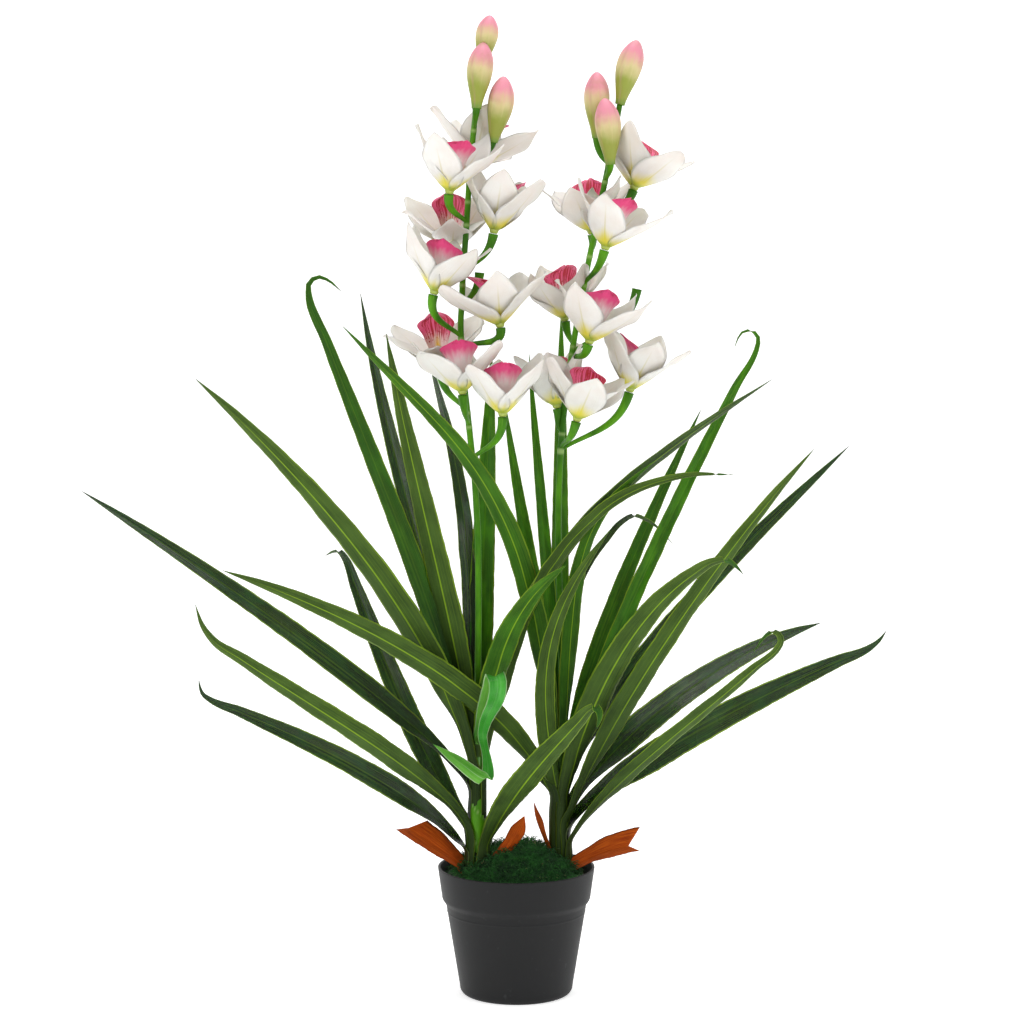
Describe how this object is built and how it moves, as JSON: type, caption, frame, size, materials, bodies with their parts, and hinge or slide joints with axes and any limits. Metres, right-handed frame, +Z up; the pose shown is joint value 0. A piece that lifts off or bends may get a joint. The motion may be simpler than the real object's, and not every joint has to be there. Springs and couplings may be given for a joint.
{
  "type": "potted orchid",
  "caption": "Cymbidium-type orchid standing in a round black nursery pot: arching strap leaves, brown bracts, moss, and two upright flower spikes with buds and open white flowers",
  "frame": {"origin": "centre of the pot's flat foot, on the surface that it stands on", "axes": "+Z up the plant, +X to the viewer's right, -Y towards the viewer"},
  "size_m": [0.7553, 0.3155, 0.9014],
  "materials": {
    "pot": "matt near-black moulded plastic",
    "potting_mix": "damp bark-based potting mix",
    "moss": "dark green stringy moss",
    "stem": "smooth fresh green stem, yellow-green and pink on the buds",
    "leaf": "glossy dark green above, matt olive green below, yellow-green edges and midrib",
    "bract": "dry orange-brown papery sheath with darker fibres",
    "petal": "waxy white, yellow at the foot, pink and red on the lip"
  },
  "bodies": {
    "root": {"pot": "pot", "potting_fill": "potting_mix", "moss": "moss", "left_shoot": "stem", "right_shoot": "stem", "left_flower_spike": "stem", "right_flower_spike": "stem", "left_flower_1": "petal", "left_flower_2": "petal", "left_flower_3": "petal", "left_flower_4": "petal", "left_flower_5": "petal", "left_flower_6": "petal", "left_flower_7": "petal", "left_flower_8": "petal", "left_flower_9": "petal", "right_flower_1": "petal", "right_flower_2": "petal", "right_flower_3": "petal", "right_flower_4": "petal", "right_flower_5": "petal", "right_flower_6": "petal", "right_flower_7": "petal", "right_flower_8": "petal", "left_leaf_01": "leaf", "left_leaf_02": "leaf", "left_leaf_03": "leaf", "left_leaf_04": "leaf", "left_leaf_05": "leaf", "left_leaf_06": "leaf", "left_leaf_07": "leaf", "left_leaf_08": "leaf", "left_leaf_09": "leaf", "left_leaf_10": "leaf", "left_leaf_11": "leaf", "left_leaf_12": "leaf", "left_leaf_13": "leaf", "left_leaf_14": "leaf", "left_leaf_15": "leaf", "left_leaf_16": "leaf", "right_leaf_01": "leaf", "right_leaf_02": "leaf", "right_leaf_03": "leaf", "right_leaf_04": "leaf", "right_leaf_05": "leaf", "right_leaf_06": "leaf", "right_leaf_07": "leaf", "right_leaf_08": "leaf", "right_leaf_09": "leaf", "right_leaf_10": "leaf", "right_leaf_11": "leaf", "right_leaf_12": "leaf", "right_leaf_13": "leaf", "right_leaf_14": "leaf", "right_leaf_15": "leaf", "right_leaf_16": "leaf", "left_bract_1": "bract", "left_bract_2": "bract", "right_bract_1": "bract", "right_bract_2": "bract"}
  },
  "joints": []
}
